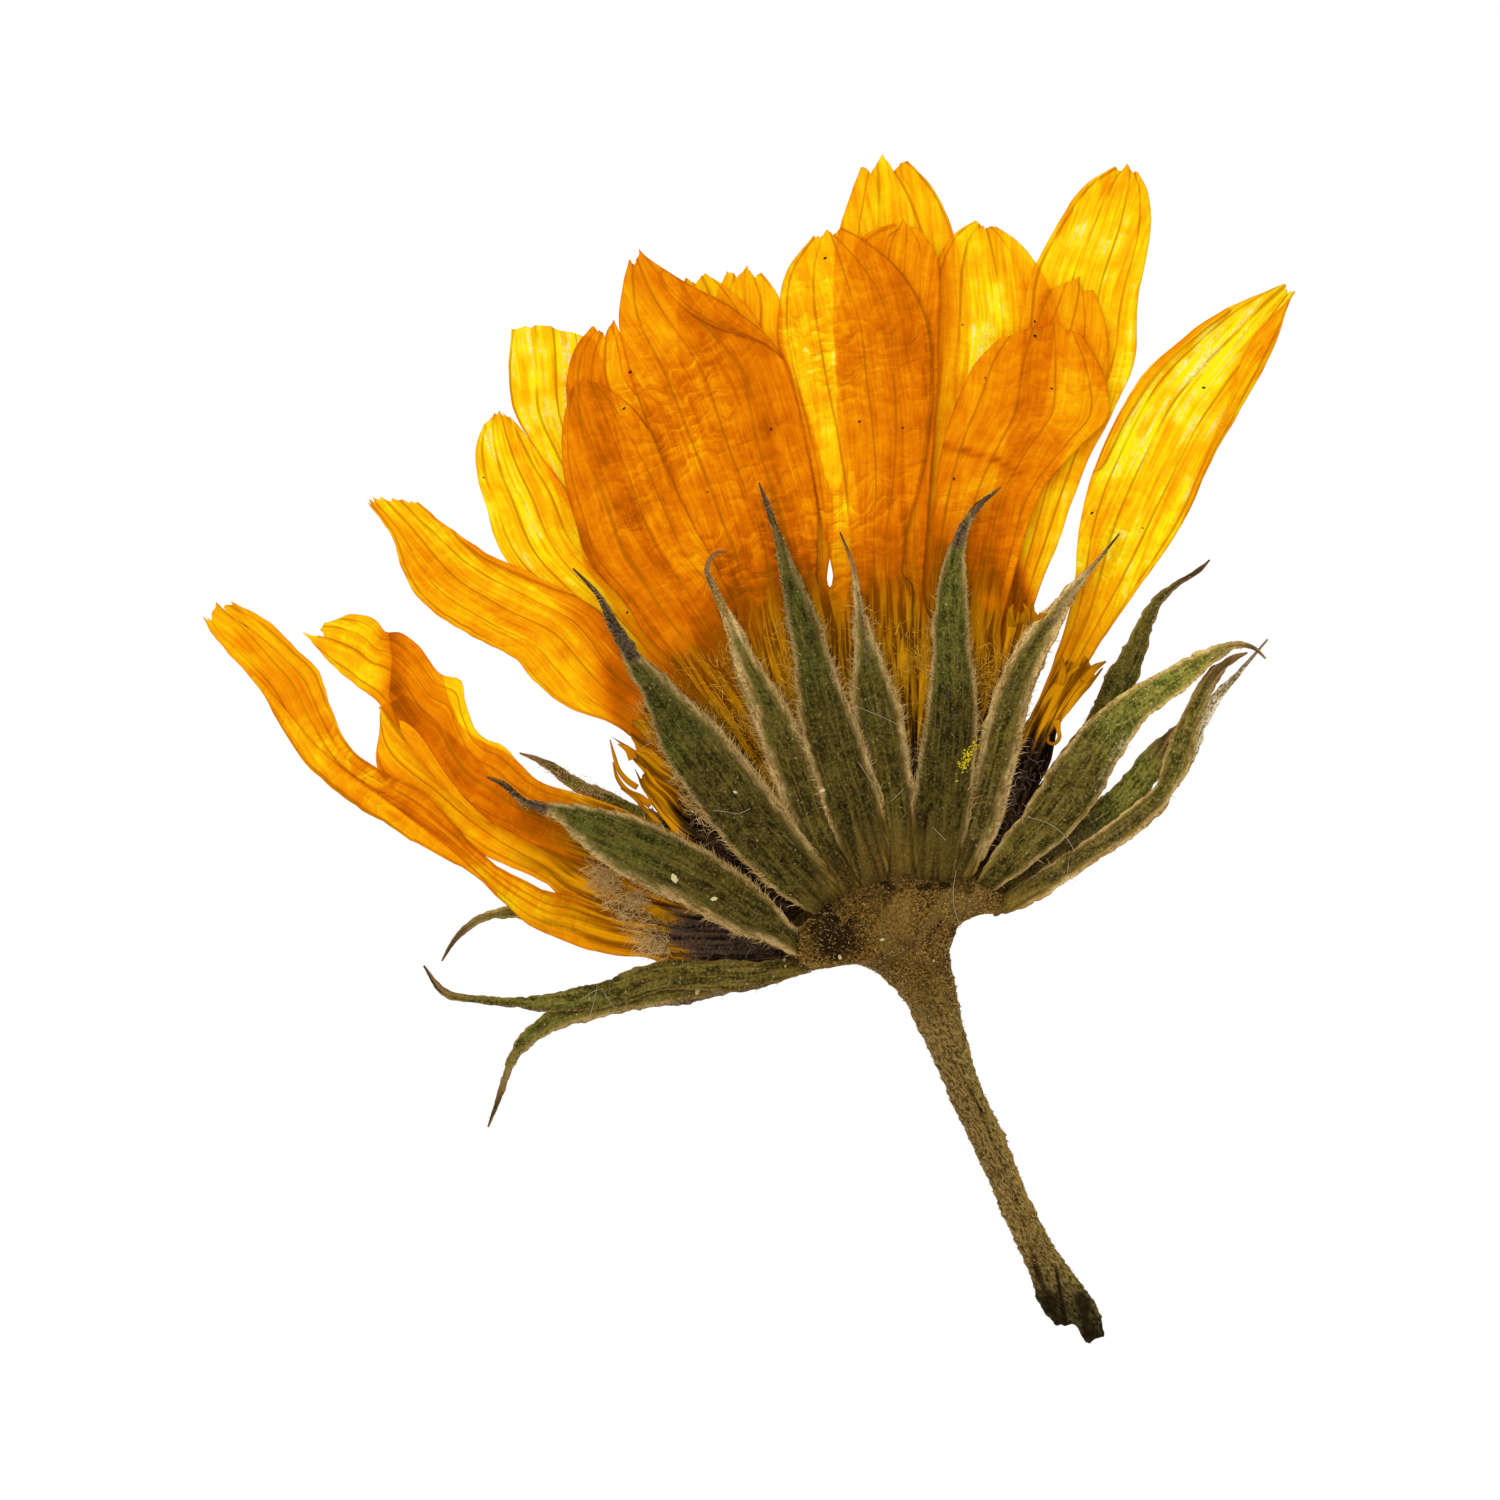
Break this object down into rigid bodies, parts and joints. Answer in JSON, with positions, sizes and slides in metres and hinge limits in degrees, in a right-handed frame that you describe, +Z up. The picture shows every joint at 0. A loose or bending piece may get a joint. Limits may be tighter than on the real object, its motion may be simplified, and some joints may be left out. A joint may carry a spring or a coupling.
{
  "type": "pressed calendula flower",
  "caption": "Pressed dried calendula head lying flat: orange strap petals fanned behind green-brown bracts, with a short cut stalk.",
  "frame": {"origin": "on the flat underside of the receptacle, under its middle, in the plane that the flower rests on", "axes": "+Z up from the surface, towards the side with the bracts; +Y from the cut stalk towards the petals, in the plane"},
  "size_m": [0.0365, 0.0397, 0.0027],
  "materials": {
    "petal": "thin dried orange petal with lengthwise veins that lets light through",
    "bract": "dried olive green leaf tissue with pale hairy edges",
    "floret": "thin dried ochre tissue",
    "stalk": "dry brown-green stalk, finely grooved and grainy"
  },
  "bodies": {
    "root": {"stalk": "stalk", "ray_01": "petal", "ray_02": "petal", "ray_03": "petal", "ray_04": "petal", "ray_05": "petal", "ray_06": "petal", "ray_07": "petal", "ray_08": "petal", "ray_09": "petal", "ray_10": "petal", "ray_11": "petal", "ray_12": "petal", "ray_13": "petal", "ray_14": "petal", "ray_15": "petal", "ray_16": "petal", "ray_17": "petal", "ray_18": "petal", "ray_19": "petal", "bract_01": "bract", "bract_02": "bract", "bract_03": "bract", "bract_04": "bract", "bract_05": "bract", "bract_06": "bract", "bract_07": "bract", "bract_08": "bract", "bract_09": "bract", "bract_10": "bract", "bract_11": "bract", "bract_12": "bract", "bract_13": "bract", "bract_14": "bract", "bract_15": "bract", "bract_16": "bract", "disc_floret_01": "floret", "disc_floret_02": "floret", "disc_floret_03": "floret", "disc_floret_04": "floret", "disc_floret_05": "floret"}
  },
  "joints": []
}
